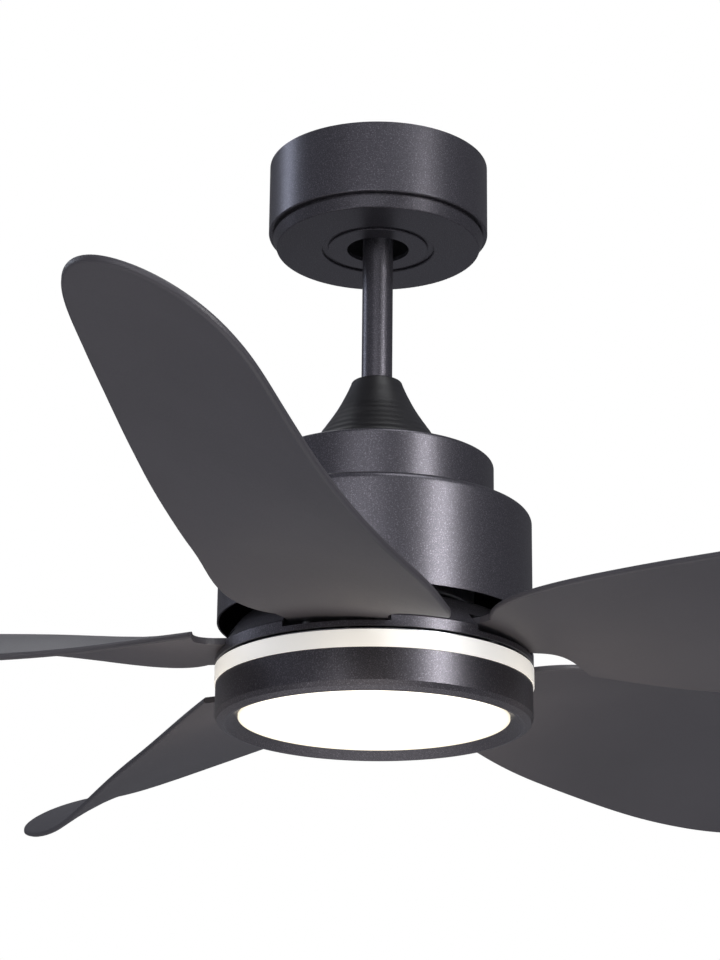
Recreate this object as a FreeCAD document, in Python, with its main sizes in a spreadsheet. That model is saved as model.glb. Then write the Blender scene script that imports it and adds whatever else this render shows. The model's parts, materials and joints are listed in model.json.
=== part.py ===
import FreeCAD, Part
import math
import os

import Sketcher
from FreeCAD import Placement, Rotation, Vector

# Ceiling fan with a light: a ball-hung down rod, an outer-rotor motor, five twisted
# blades and a fixed light kit on the hollow motor shaft.  The origin is on the ceiling
# plane, on the fan's axis.  +Z is up, so every drop below is a distance under z = 0.

document = FreeCAD.newDocument("ceiling_fan")
dims = document.addObject("Spreadsheet::Sheet", "dims")

# Driving dimensions in millimetres, and degrees where the name says angle.
DRIVING = {
    # canopy and its cover
    "canopy_radius": 82.9, "canopy_drop": 55.6, "sheet_metal": 1.4, "canopy_neck": 78.3,
    "neck_drop": 58.1, "canopy_opening": 42.0, "canopy_rim": 1.2, "canopy_hole": 2.7,
    "cover_top_radius": 79.7, "cover_low_radius": 76.7, "cover_drop": 66.1,
    "cover_hole": 23.4, "cover_groove_in": 37.9, "cover_groove_out": 42.4,
    "cover_groove_depth": 1.6, "cover_plate": 3.0, "boss_edge": 0.7,
    # hanger bracket
    "bracket_length": 128.0, "bracket_width": 44.0, "bracket_steel": 2.0,
    "slot_spacing": 89.0, "slot_width": 5.5, "slot_length": 12.0, "foot_reach": 14.0,
    "foot_width": 18.0, "screw_spacing": 114.0, "arm_offset": 27.0, "arm_width": 32.0,
    "cup_depth": 12.6, "window_radius": 6.0, "window_offset": 12.0,
    # radio receiver and terminal block
    "receiver_length": 70.0, "receiver_width": 24.0, "receiver_height": 22.0,
    "receiver_offset": 46.0, "case_edge": 2.0, "terminal_length": 38.0,
    "terminal_width": 16.0, "terminal_height": 13.0, "terminal_offset": 44.0,
    "well_spacing": 11.0, "well_radius": 3.0, "well_depth": 5.0,
    # ball joint
    "ball_drop": 30.0, "ball_radius": 19.0, "ball_gap": 0.3, "seat_wall": 2.4,
    "cup_wall": 2.5, "ball_top": 12.0, "ball_foot": 14.0, "seat_low": 12.0,
    "seat_high": 2.5, "key_length": 5.4, "key_width": 4.0, "key_height": 6.0,
    "key_play": 0.6, "cross_pin_length": 26.0, "grub_radius": 2.0, "grub_length": 6.0,
    "grub_drop": 4.0,
    # down rod and its coupling
    "rod_radius": 11.5, "rod_wall": 2.2, "rod_top": 21.0, "rod_end": 231.0,
    "wire_radius": 1.1, "wire_circle": 6.2, "yoke_radius": 16.5, "yoke_top": 204.0,
    "yoke_collar": 18.5, "yoke_flange": 30.0, "yoke_flange_top": 232.0,
    "yoke_foot": 236.2, "flange_height": 4.0, "pin_radius": 3.0, "yoke_pin_drop": 217.0,
    "ball_pin_drop": 26.0, "yoke_pin_length": 41.0, "clip_radius": 0.95,
    "clip_offset": 18.6, "clip_bend": 2.0,
    # coupling cover
    "bell_top": 174.6, "bell_mouth": 17.8, "bell_lip": 1.4, "bell_wall": 1.8,
    "bell_waist": 22.7, "bell_waist_drop": 184.6, "bell_middle": 30.1,
    "bell_middle_drop": 198.9, "bell_skirt": 41.6, "bell_skirt_drop": 216.4,
    "bell_foot": 53.2, "bell_foot_drop": 233.4,
    # upper and main housings
    "cap_radius": 86.7, "cap_drop": 241.2, "cap_crown": 233.0, "cap_slope": 0.6,
    "cap_shoulder": 54.2, "cap_bore": 20.5, "housing_radius": 114.2,
    "housing_top": 281.9, "housing_foot": 362.3, "housing_wall": 1.3,
    "housing_edge": 5.0, "cap_edge": 2.5, "carrier_web": 14.0, "carrier_screw_out": 7.0,
    # motor
    "shaft_radius": 8.0, "shaft_bore": 4.5, "shaft_top": 236.7, "shaft_foot": 405.0,
    "stator_radius": 60.0, "stator_top": 312.0, "stator_foot": 333.0,
    "tooth_root": 36.0, "tooth_width": 10.0, "tooth_crown": 5.0, "tooth_lap": 4.0,
    "slot_mouth": 2.4, "mouth_depth": 12.0, "coil_overhang": 5.0, "coil_width": 18.4,
    "coil_reach": 38.0, "coil_length": 15.0, "coil_edge": 3.5, "coil_gap": 0.2,
    "magnet_inner": 61.0, "magnet_outer": 66.5, "magnet_gap": 2.0, "rotor_radius": 72.0,
    "rotor_wall": 2.6, "rotor_top": 294.0, "rotor_split": 322.0, "rotor_foot": 354.0,
    "upper_bearing_top": 295.0, "lower_bearing_top": 343.0, "bearing_height": 9.0,
    "race_inner": 12.0, "race_outer": 17.0, "bearing_radius": 21.0,
    "bearing_ball": 2.4, "cage_wall": 1.8, "cage_rim": 0.8, "bearing_lip": 3.0,
    # rotating hub ring that carries the blades
    "hub_top": 365.2, "hub_crown": 99.0, "hub_shoulder": 112.9,
    "hub_shoulder_drop": 384.6, "hub_radius": 114.6, "hub_foot": 393.8,
    "hub_wall": 2.2, "hub_plate": 2.4, "hub_inner": 82.0, "hub_bore": 26.0,
    "ledge_drop": 377.0, "ledge_plate": 4.2, "hub_boss": 66.0, "boss_wall": 14.0,
    "boss_screw_in": 7.0, "boss_screw_angle": 42.0,
    # blades
    "blade_count": 5.0, "first_blade_angle": 257.8, "blade_thickness": 4.6,
    "blade_edge": 1.7, "slab_width": 300.0, "tab_start": 88.0, "tab_end": 108.0,
    "tab_half": 36.0, "tab_gap": 2.5, "blade_screw_circle": 97.0, "tab_slot_depth": 13.0,
    "tab_slot_length": 40.0, "blade_screw_pitch": 26.0, "blade_screw_middle": 2.0,
    "screw_seat": 10.1, "screw_step": 1.3,
    # screws: head radius, head height and shank radius of the two sizes used
    "large_head": 4.2, "large_head_height": 2.6, "large_shank": 2.1,
    "small_head": 3.6, "small_head_height": 2.2, "small_shank": 1.7,
    "small_hole": 1.8, "blade_hole": 2.3,
    # light kit
    "kit_top": 394.8, "band_top": 396.4, "band_foot": 408.6, "band_radius": 114.8,
    "band_wall": 3.0, "strip_gap": 2.0, "strip_wall": 1.6, "strip_chip": 2.8,
    "strip_chip_depth": 1.2, "ring_radius": 114.0, "ring_foot": 427.8, "ring_wall": 1.8,
    "trim_foot": 437.3, "trim_flat": 106.4, "trim_inner": 100.0, "trim_lip": 432.8,
    "diffuser_wall": 2.2, "diffuser_sag": 2.0,
    "board_drop": 416.7, "board_radius": 92.0, "board_wall": 1.6, "tray_lip": 6.0,
    "tray_sheet": 1.5, "tray_bore": 20.0, "chip_side": 3.0, "chip_height": 0.9,
    "nut_radius": 14.0, "nut_height": 5.0, "post_radius": 3.0, "post_out": 11.0,
    "driver_length": 52.0, "driver_width": 30.0, "driver_height": 11.5,
    "driver_reach": 22.0,
}

# The blade's stations: distance out, drop of the middle line, pitch angle and the
# radius that the section is bent to, its hollow side down.
STATIONS = (
    (80.0, 380.5, -1.5, 3000.0),
    (120.0, 384.0, -4.3, 1200.0),
    (170.0, 381.0, -8.0, 420.0),
    (270.0, 378.5, -12.5, 330.0),
    (400.0, 377.5, -17.5, 345.0),
    (540.0, 370.5, -19.7, 360.0),
    (690.0, 353.5, -13.5, 380.0),
)
for number, (reach, drop, pitch, bend) in enumerate(STATIONS, start=1):
    DRIVING["station_reach_%d" % number] = reach
    DRIVING["station_drop_%d" % number] = drop
    DRIVING["station_angle_%d" % number] = pitch
    DRIVING["station_bend_%d" % number] = bend

for line, (alias, amount) in enumerate(DRIVING.items(), start=1):
    dims.set("A%d" % line, alias)
    dims.set("B%d" % line, repr(amount))
    dims.setAlias("B%d" % line, alias)
document.recompute()


def size(formula):
    """Value of a sum of sheet names and numbers, such as 'rod_radius - rod_wall'."""
    total = 0.0
    sign = 1.0
    for word in formula.split():
        if word in "+-":
            sign = 1.0 if word == "+" else -1.0
        elif word[0].isdigit():
            total += sign * float(word)
            sign = 1.0
        else:
            total += sign * float(dims.get(word))
            sign = 1.0
    return total


def bound(formula):
    """The same sum as an expression on the sheet."""
    words = []
    for word in formula.split():
        words.append("dims." + word if word[0].isalpha() else word)
    return " ".join(words)


finished = []


def finish(item, label):
    """Name a finished sub-part, which is exported under this label."""
    item.Label = label
    finished.append(item)
    return item


def origin_plane(body, role):
    for feature in body.Origin.OriginFeatures:
        if feature.Role == role:
            return feature
    raise ValueError(role)


def attached_sketch(body, role, name):
    sketch = body.newObject("Sketcher::SketchObject", name)
    sketch.AttachmentSupport = [(origin_plane(body, role), "")]
    sketch.MapMode = "FlatFace"
    return sketch


def pin_vertex(sketch, edge, end, across, up):
    """Hold one vertex of a sketch at two sheet sums measured from the origin."""
    for kind, formula in (("DistanceX", across), ("DistanceY", up)):
        value = size(formula)
        if abs(value) < 1e-9:
            axis = -2 if kind == "DistanceX" else -1
            sketch.addConstraint(Sketcher.Constraint("PointOnObject", edge, end, axis))
        else:
            held = Sketcher.Constraint(kind, -1, 1, edge, end, value)
            number = sketch.addConstraint(held)
            sketch.setExpression("Constraints[%d]" % number, bound(formula))


def outline(sketch, corners):
    """Closed outline of straight edges through (across, up) sheet sums."""
    points = [Vector(size(across), size(up), 0) for across, up in corners]
    first = sketch.GeometryCount
    for number, point in enumerate(points):
        following = points[(number + 1) % len(points)]
        sketch.addGeometry(Part.LineSegment(point, following), False)
    for number in range(len(points)):
        nearest = first + number
        following = first + (number + 1) % len(points)
        sketch.addConstraint(Sketcher.Constraint("Coincident", nearest, 2, following, 1))
    for number, (across, up) in enumerate(corners):
        pin_vertex(sketch, first + number, 1, across, up)


def turned(name, *profiles):
    """A body turned about Z from closed (radius, height) profiles."""
    body = document.addObject("PartDesign::Body", name)
    sketch = attached_sketch(body, "XZ_Plane", name + "_profile")
    for corners in profiles:
        outline(sketch, corners)
    revolution = body.newObject("PartDesign::Revolution", name + "_turn")
    revolution.Profile = sketch
    revolution.ReferenceAxis = (sketch, ["V_Axis"])
    revolution.Angle = 360.0
    document.recompute()
    return body


def height_of(drop):
    """Height of a drop: the same sum with every sign turned."""
    turned_sign = {"+": "-", "-": "+"}
    return "- " + " ".join(turned_sign.get(word, word) for word in drop.split())


def drops(*corners):
    """Turn (radius, drop) pairs into (radius, height) pairs."""
    return [(radius, height_of(drop)) for radius, drop in corners]


def ring_edges(shape, radius, height, slack=0.05):
    """Names of the circular edges of one radius at one height."""
    names = []
    for number, edge in enumerate(shape.Edges, start=1):
        curve = edge.Curve
        if isinstance(curve, Part.Circle) and abs(curve.Radius - radius) < slack:
            if abs(curve.Center.z - height) < slack:
                names.append("Edge%d" % number)
    return names


def rounded(body, name, radius, *rings):
    """Fillet circular edges, given as (ring radius, height) sheet sums."""
    names = []
    for across, up in rings:
        names += ring_edges(body.Shape, size(across), size(up))
    sharp = body.Tip
    fillet = body.newObject("PartDesign::Fillet", name)
    fillet.Base = (sharp, names)
    fillet.setExpression("Radius", bound(radius))
    document.recompute()
    body.Tip = fillet
    document.recompute()
    return body


def cylinder(name, radius, height, at, turn=None):
    item = document.addObject("Part::Cylinder", name)
    item.setExpression("Radius", bound(radius))
    item.setExpression("Height", bound(height))
    item.Placement = Placement(at, turn or Rotation())
    return item


def block(name, length, width, height, at, turn=None):
    """A box centred on at in plan, standing up from it."""
    item = document.addObject("Part::Box", name)
    item.setExpression("Length", bound(length))
    item.setExpression("Width", bound(width))
    item.setExpression("Height", bound(height))
    turn = turn or Rotation()
    corner = turn.multVec(Vector(-size(length) / 2, -size(width) / 2, 0))
    item.Placement = Placement(at + corner, turn)
    return item


def fused(name, *pieces):
    item = document.addObject("Part::MultiFuse", name)
    item.Shapes = list(pieces)
    return item


def cut(name, base, tool):
    item = document.addObject("Part::Cut", name)
    item.Base = base
    item.Tool = tool
    return item


def common(name, base, tool):
    item = document.addObject("Part::Common", name)
    item.Base = base
    item.Tool = tool
    return item


def grouped(name, pieces):
    item = document.addObject("Part::Compound", name)
    item.Links = list(pieces)
    return item


def around(count, start=0.0):
    return [start + 360.0 * step / count for step in range(count)]


def polar(radius, angle, height):
    turn = math.radians(angle)
    return Vector(radius * math.cos(turn), radius * math.sin(turn), height)


TOOTH_COUNT = 12
MAGNET_COUNT = 14
BALL_COUNT = 9
POST_COUNT = 3
STRIP_CHIP_COUNT = 40
LAMP_ROWS = ((12, 30.0), (18, 52.0), (24, 74.0))
ALONG_X = Rotation(Vector(0, 1, 0), 90)
ALONG_Y = Rotation(Vector(1, 0, 0), -90)


def about_z(angle):
    return Rotation(Vector(0, 0, 1), angle)


def ball(name, radius, at):
    item = document.addObject("Part::Sphere", name)
    item.setExpression("Radius", bound(radius))
    item.Placement = Placement(at, Rotation())
    return item


def screw(name, at, kind, length, up=True):
    """A slotted pan-head screw, large or small, whose head starts at the point at."""
    head_radius = size(kind + "_head")
    head_height = size(kind + "_head_height")
    shank_radius = size(kind + "_shank")
    head_at = at if up else at - Vector(0, 0, head_height)
    shank_at = at + Vector(0, 0, head_height)
    if not up:
        shank_at = at - Vector(0, 0, head_height + length)
    head = cylinder(name + "_head", kind + "_head", kind + "_head_height", head_at)
    shank = document.addObject("Part::Cylinder", name + "_shank")
    shank.Radius = shank_radius
    shank.Height = length
    shank.Placement = Placement(shank_at, Rotation())
    recess = document.addObject("Part::Box", name + "_recess")
    recess.Length = head_radius
    recess.Width = head_radius * 0.3
    recess.Height = head_height / 2
    recess_height = at.z if up else at.z - head_height / 2
    corner = Vector(at.x - recess.Length.Value / 2, at.y - recess.Width.Value / 2, recess_height)
    recess.Placement = Placement(corner, Rotation())
    return cut(name, fused(name + "_solid", head, shank), recess)


def bracket_cup():
    """Spherical cup with a flat flange, and the tools that hollow it for the liner."""
    centre = Vector(0, 0, -size("ball_drop"))
    bowl = ball("cup_ball", "ball_radius + ball_gap + seat_wall + ball_gap + cup_wall", centre)
    flange = cylinder("cup_flange", "arm_offset + bracket_steel", "bracket_steel", centre)
    zone = cylinder("cup_zone", "arm_offset + bracket_steel", "cup_depth + bracket_steel",
                    centre - Vector(0, 0, size("cup_depth")))
    inside = "ball_radius + ball_gap + seat_wall + ball_gap"
    hollow = ball("cup_hollow", inside, centre)
    throat = cylinder("cup_throat", "ball_radius - 0.8", "arm_width",
                      centre - Vector(0, 0, size("arm_width")))
    mouth = cylinder("cup_mouth", inside, "ball_drop - bracket_steel", centre)
    band = common("cup_band", fused("cup_solid", bowl, flange), zone)
    return band, [hollow, throat, mouth]


def hanger_bracket():
    """Stamped bracket: slotted ceiling plate, canopy feet and the ball's cup."""
    cup, cutters = bracket_cup()
    steel = size("bracket_steel")
    pieces = [cup, block("plate", "bracket_length", "bracket_width", "bracket_steel",
                         Vector(0, 0, -steel))]
    foot_under = -size("neck_drop - sheet_metal")
    half = size("bracket_length") / 2
    straight = "slot_length - slot_width"
    for side in (-1, 1):
        pieces.append(block("leg%d" % side, "bracket_steel", "foot_width",
                            "neck_drop - sheet_metal",
                            Vector(side * (half - steel / 2), 0, foot_under)))
        foot_at = Vector(side * (half - size("foot_reach") / 2), 0, foot_under)
        pieces.append(block("foot%d" % side, "foot_reach", "foot_width", "bracket_steel",
                            foot_at))
        arm_at = Vector(side * (size("arm_offset") + steel / 2), 0, -size("ball_drop"))
        pieces.append(block("arm%d" % side, "bracket_steel", "arm_width", "ball_drop", arm_at))
        middle = side * size("slot_spacing") / 2
        cutters.append(block("slot_box%d" % side, straight, "slot_width", "bracket_steel + 2",
                             Vector(middle, 0, -steel - 1)))
        for end in (-1, 1):
            at = Vector(middle + end * size(straight) / 2, 0, -steel - 1)
            hole = cylinder("slot_end%d%d" % (side, end), "slot_width", "bracket_steel + 2", at)
            hole.setExpression("Radius", "dims.slot_width / 2")
            cutters.append(hole)
        hole_at = Vector(side * size("screw_spacing") / 2, 0, foot_under - 1)
        cutters.append(cylinder("foot_hole%d" % side, "large_shank", "bracket_steel + 2",
                                hole_at))
        cutters.append(cylinder("wire_window%d" % side, "window_radius", "bracket_steel + 2",
                                Vector(0, side * size("window_offset"), -steel - 1)))
    solid = fused("bracket_solid", *pieces)
    finish(cut("bracket", solid, fused("bracket_cutters", *cutters)), "hanger_bracket")


def canopy():
    """Open-topped drum that hides the bracket, with a recessed neck and a bottom hole."""
    wall = "sheet_metal"
    profile = drops(
        ("canopy_radius", "0"),
        ("canopy_radius", "canopy_drop"),
        ("canopy_neck", "canopy_drop"),
        ("canopy_neck", "neck_drop"),
        ("canopy_opening", "neck_drop"),
        ("canopy_opening", "neck_drop - " + wall),
        ("canopy_neck - " + wall, "neck_drop - " + wall),
        ("canopy_neck - " + wall, "canopy_drop - " + wall),
        ("canopy_radius - " + wall, "canopy_drop - " + wall),
        ("canopy_radius - " + wall, "0"),
    )
    body = turned("canopy_body", profile)
    rounded(body, "canopy_edge", "canopy_rim", ("canopy_radius", "- canopy_drop"))
    sketch = attached_sketch(body, "XY_Plane", "canopy_screw_holes")
    radius = size("canopy_hole")
    for side in (-1, 1):
        centre = Vector(side * size("screw_spacing") / 2, 0, 0)
        number = sketch.addGeometry(Part.Circle(centre, Vector(0, 0, 1), radius), False)
        held = sketch.addConstraint(Sketcher.Constraint("Radius", number, radius))
        sketch.setExpression("Constraints[%d]" % held, "dims.canopy_hole")
        sketch.addConstraint(Sketcher.Constraint("PointOnObject", number, 3, -1))
        across = Sketcher.Constraint("DistanceX", -1, 1, number, 3, centre.x)
        held = sketch.addConstraint(across)
        sketch.setExpression("Constraints[%d]" % held, "%d * dims.screw_spacing / 2" % side)
    pocket = body.newObject("PartDesign::Pocket", "canopy_screw_pocket")
    pocket.Profile = sketch
    pocket.Type = "ThroughAll"
    pocket.Midplane = True
    body.Tip = pocket
    document.recompute()
    finish(body, "canopy")


def canopy_cover():
    """Twist-on plate over the canopy screws, with a round groove about the rod's hole."""
    profile = drops(
        ("cover_top_radius", "neck_drop"),
        ("cover_low_radius", "cover_drop"),
        ("cover_groove_out", "cover_drop"),
        ("cover_groove_out", "cover_drop - cover_groove_depth"),
        ("cover_groove_in", "cover_drop - cover_groove_depth"),
        ("cover_groove_in", "cover_drop"),
        ("cover_hole", "cover_drop"),
        ("cover_hole", "cover_drop - cover_plate"),
        ("cover_low_radius - sheet_metal", "cover_drop - cover_plate"),
        ("cover_top_radius - sheet_metal", "neck_drop"),
    )
    body = turned("cover_body", profile)
    rounded(body, "cover_edge", "canopy_rim", ("cover_low_radius", "- cover_drop"))
    rounded(body, "cover_boss_edge", "boss_edge", ("cover_groove_in", "- cover_drop"),
            ("cover_groove_out", "- cover_drop"))
    finish(body, "canopy_cover")


def canopy_screws():
    """Two screws up through the canopy's neck plate into the bracket's feet."""
    screws = []
    drop = size("neck_drop + large_head_height")
    for side in (-1, 1):
        at = Vector(side * size("screw_spacing") / 2, 0, -drop)
        screws.append(screw("canopy_screw%d" % side, at, "large", 8.0))
    finish(grouped("canopy_screw_pair", screws), "canopy_screws")


def radio_receiver():
    floor = -size("neck_drop - sheet_metal")
    case = block("receiver_case", "receiver_length", "receiver_width", "receiver_height",
                 Vector(0, size("receiver_offset"), floor))
    document.recompute()
    edge = size("case_edge")
    softened = document.addObject("Part::Fillet", "receiver_rounded")
    softened.Base = case
    softened.Edges = [(number, edge, edge)
                      for number, side in enumerate(case.Shape.Edges, start=1)
                      if abs(side.tangentAt(side.FirstParameter).z) > 0.9]
    finish(softened, "radio_receiver")


def terminal_block():
    floor = -size("neck_drop - sheet_metal")
    middle = -size("terminal_offset")
    base = block("terminal_base", "terminal_length", "terminal_width", "terminal_height",
                 Vector(0, middle, floor))
    wells = []
    for step in (-1, 0, 1):
        at = Vector(step * size("well_spacing"), middle,
                    floor + size("terminal_height - well_depth"))
        wells.append(cylinder("terminal_well%d" % step, "well_radius", "terminal_height", at))
    finish(cut("terminal_solid", base, fused("terminal_wells", *wells)), "terminal_block")


def ball_seat():
    """Rubber liner between the cup and the ball, with the key that stops the ball's turn."""
    centre = Vector(0, 0, -size("ball_drop"))
    outer = ball("liner_out", "ball_radius + ball_gap + seat_wall", centre)
    inner = ball("liner_in", "ball_radius + ball_gap", centre)
    span = cylinder("liner_span", "arm_width", "seat_low + seat_high",
                    centre - Vector(0, 0, size("seat_low")))
    liner = common("liner_zone", cut("liner_shell", outer, inner), span)
    key_out = size("ball_radius") - 0.5
    key = block("liner_key", "key_length", "key_width", "key_height",
                centre + Vector(key_out, 0, -size("key_height") * 0.75))
    finish(fused("liner_with_key", liner, key), "ball_seat_liner")


def hanger_ball():
    """Truncated ball with its key slot, cross pin and set screw on the rod's head."""
    centre = Vector(0, 0, -size("ball_drop"))
    pin_at = Vector(0, -size("cross_pin_length") / 2, -size("ball_pin_drop"))
    grub_from = Vector(-size("rod_radius + grub_length"), 0, -size("ball_drop + grub_drop"))
    whole = ball("ball_whole", "ball_radius", centre)
    span = cylinder("ball_span", "ball_radius", "ball_top + ball_foot",
                    centre - Vector(0, 0, size("ball_foot")))
    bore = cylinder("ball_bore", "rod_radius", "ball_radius + ball_radius",
                    centre - Vector(0, 0, size("ball_radius")))
    slot = block("ball_slot", "key_length + 2", "key_width + key_play + key_play", "ball_radius",
                 centre + Vector(size("ball_radius") - 1, 0, -size("ball_foot")))
    pin_way = cylinder("ball_pin_way", "pin_radius", "cross_pin_length", pin_at, ALONG_Y)
    grub_way = cylinder("ball_grub_way", "grub_radius", "grub_length + 2",
                        grub_from - Vector(2, 0, 0), ALONG_X)
    tools = fused("ball_tools", bore, slot, pin_way, grub_way)
    finish(cut("ball_cut", common("ball_band", whole, span), tools), "hanger_ball")
    finish(cylinder("ball_pin_rod", "pin_radius", "cross_pin_length", pin_at, ALONG_Y),
           "ball_cross_pin")
    finish(cylinder("ball_grub", "grub_radius", "grub_length", grub_from, ALONG_X),
           "ball_set_screw")


def down_rod():
    """Down rod with its two cross holes, and the lead wires inside it."""
    length = "rod_end - rod_top"
    at = Vector(0, 0, -size("rod_end"))
    outside = cylinder("rod_outside", "rod_radius", length, at)
    inside = cylinder("rod_inside", "rod_radius - rod_wall", length, at)
    holes = []
    for name, drop in (("upper", "ball_pin_drop"), ("lower", "yoke_pin_drop")):
        hole = cylinder("rod_hole_" + name, "pin_radius", "arm_width",
                        Vector(0, -size("arm_width") / 2, -size(drop)), ALONG_Y)
        holes.append(hole)
    finish(cut("rod_tube", outside, fused("rod_tools", inside, *holes)), "down_rod")

    wires = []
    for number, angle in enumerate((-24.0, 24.0, 180.0)):
        offset = polar(size("wire_circle"), angle, -size("rod_end"))
        wires.append(cylinder("wire%d" % number, "wire_radius", length, offset))
    finish(grouped("wire_bundle", wires), "supply_wires")


def motor_yoke():
    """Socket on the rod's foot, with the flange that the housings hang from."""
    profile = drops(
        ("rod_radius", "yoke_top"),
        ("yoke_radius", "yoke_top"),
        ("yoke_radius", "yoke_flange_top"),
        ("yoke_collar", "yoke_flange_top"),
        ("yoke_collar", "yoke_foot"),
        ("yoke_flange", "yoke_foot"),
        ("yoke_flange", "yoke_foot + flange_height"),
        ("shaft_radius", "yoke_foot + flange_height"),
        ("shaft_radius", "rod_end"),
        ("rod_radius", "rod_end"),
    )
    body = turned("yoke_body", profile)
    half = size("yoke_pin_length") / 2
    pin_drop = -size("yoke_pin_drop")
    cross = cylinder("yoke_cross", "pin_radius", "yoke_pin_length",
                     Vector(0, -half, pin_drop), ALONG_Y)
    way = cylinder("yoke_way", "grub_radius", "yoke_radius",
                   Vector(-size("yoke_radius") - 2, 0, pin_drop + 5), ALONG_X)
    finish(cut("yoke_drilled", body, fused("yoke_tools", cross, way)), "motor_yoke")
    finish(cylinder("yoke_grub", "grub_radius", "yoke_radius - rod_radius",
                    Vector(-size("yoke_radius"), 0, pin_drop + 5), ALONG_X),
           "yoke_set_screw")


def yoke_pin():
    """Headed cross pin of the yoke and the hairpin clip through its end."""
    pin_drop = -size("yoke_pin_drop")
    start = -size("yoke_pin_length") / 2
    offset = size("clip_offset")
    shank = cylinder("yoke_pin_shank", "pin_radius", "yoke_pin_length",
                     Vector(0, start, pin_drop), ALONG_Y)
    head = cylinder("yoke_pin_head", "pin_radius + 1.5", "bracket_steel",
                    Vector(0, start - size("bracket_steel"), pin_drop), ALONG_Y)
    eye = cylinder("yoke_pin_eye", "clip_radius + 0.05", "bearing_height + 3",
                   Vector(0, offset, pin_drop - 6))
    finish(cut("yoke_pin_solid", fused("yoke_pin_blank", shank, head), eye), "yoke_pin")

    radius = size("clip_radius")
    bend_radius = size("clip_bend")
    straight = Part.makeCylinder(radius, 15, Vector(0, offset, pin_drop - 7.5))
    bend_middle = Vector(0, offset + bend_radius, pin_drop + 7.5)
    bend = Part.makeTorus(bend_radius, radius, bend_middle, Vector(1, 0, 0))
    upper_half = Part.makeBox(10, 10, 5, bend_middle - Vector(5, 5, 0))
    return_at = Vector(0, offset + 2 * bend_radius, pin_drop - 3.5)
    return_leg = Part.makeCylinder(radius, 11, return_at)
    clip = document.addObject("Part::Feature", "hairpin_shape")
    clip.Shape = straight.fuse([bend.common(upper_half), return_leg]).removeSplitter()
    finish(clip, "yoke_hairpin")


def coupling_cover():
    """Bell-shaped cover over the yoke: a curved flare with a rounded mouth."""
    stops = (("bell_waist", "bell_waist_drop"), ("bell_middle", "bell_middle_drop"),
             ("bell_skirt", "bell_skirt_drop"), ("bell_foot", "bell_foot_drop"))
    top = -size("bell_top")
    mouth = size("bell_mouth")
    wall = size("bell_wall")
    lip = size("bell_lip")
    flare = [Vector(mouth + lip, 0, top - 1.2 * lip)]
    flare += [Vector(size(radius), 0, -size(drop)) for radius, drop in stops]
    outside = Part.BSplineCurve()
    outside.interpolate(flare)
    inner = [Vector(mouth - lip, 0, top - 1.2 * lip)]
    inner += [point - Vector(wall, 0, 0) for point in flare[1:]]
    inside = Part.BSplineCurve()
    inside.interpolate(inner)
    edges = [
        Part.Arc(inner[0], Vector(mouth, 0, top), flare[0]).toShape(),
        outside.toShape(),
        Part.makeLine(flare[-1], inner[-1]),
        inside.toShape(),
    ]
    face = Part.Face(Part.Wire(Part.__sortEdges__(edges)))
    bell = document.addObject("Part::Feature", "bell_shape")
    bell.Shape = face.revolve(Vector(0, 0, 0), Vector(0, 0, 1), 360)
    finish(bell, "coupling_cover")


def upper_housing():
    """Upper cap: a turned shell with a slightly sloping crown."""
    wall = "housing_wall"
    profile = drops(
        ("cap_bore", "cap_crown"),
        ("cap_shoulder", "cap_crown + cap_slope"),
        ("cap_radius", "cap_drop"),
        ("cap_radius", "housing_top"),
        ("cap_radius - " + wall, "housing_top"),
        ("cap_radius - " + wall, "cap_drop + " + wall),
        ("cap_shoulder", "cap_crown + cap_slope + " + wall),
        ("cap_bore", "cap_crown + " + wall),
    )
    body = turned("cap_body", profile)
    rounded(body, "cap_rim", "cap_edge", ("cap_radius", "- cap_drop"))
    finish(body, "upper_housing")


def housing_screw_angles():
    return around(4, 45.0)


def housing_screw_holes(owner):
    """Four holes through the housing's top plate and the carrier's flange."""
    holes = []
    for number, angle in enumerate(housing_screw_angles()):
        at = polar(size("yoke_flange + carrier_screw_out"), angle, -size("housing_top + 4"))
        holes.append(cylinder("%s_hole%d" % (owner, number), "small_hole", "bearing_height",
                              at))
    return fused(owner + "_holes", *holes)


def motor_housing():
    """Main drum over the motor, open below, with a well-rounded top edge."""
    wall = "housing_wall"
    profile = drops(
        ("yoke_flange", "housing_top"),
        ("housing_radius", "housing_top"),
        ("housing_radius", "housing_foot"),
        ("housing_radius - " + wall, "housing_foot"),
        ("housing_radius - " + wall, "housing_top + " + wall),
        ("yoke_flange", "housing_top + " + wall),
    )
    body = turned("drum_body", profile)
    rounded(body, "drum_rim", "housing_edge", ("housing_radius", "- housing_top"))
    rounded(body, "drum_inner_rim", "housing_edge - " + wall,
            ("housing_radius - " + wall, "- housing_top - " + wall))
    finish(cut("drum_drilled", body, housing_screw_holes("drum")), "motor_housing")


def housing_carrier():
    """Spacer under the yoke's flange that the motor housing is screwed to."""
    profile = drops(
        ("shaft_radius", "yoke_foot + flange_height"),
        ("yoke_flange", "yoke_foot + flange_height"),
        ("yoke_flange", "yoke_foot + 8"),
        ("carrier_web", "yoke_foot + 12"),
        ("carrier_web", "housing_top - 6"),
        ("yoke_flange + carrier_web", "housing_top - 2"),
        ("yoke_flange + carrier_web", "housing_top"),
        ("yoke_flange", "housing_top"),
        ("yoke_flange", "housing_top + 3"),
        ("shaft_radius", "housing_top + 3"),
    )
    finish(cut("carrier_drilled", turned("carrier_body", profile),
               housing_screw_holes("carrier")), "housing_carrier")
    screws = []
    drop = size("housing_top + housing_wall + small_head_height")
    for number, angle in enumerate(housing_screw_angles()):
        at = polar(size("yoke_flange + carrier_screw_out"), angle, -drop)
        screws.append(screw("housing_screw%d" % number, at, "small", 3.2))
    finish(grouped("housing_screw_set", screws), "housing_screws")


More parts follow.
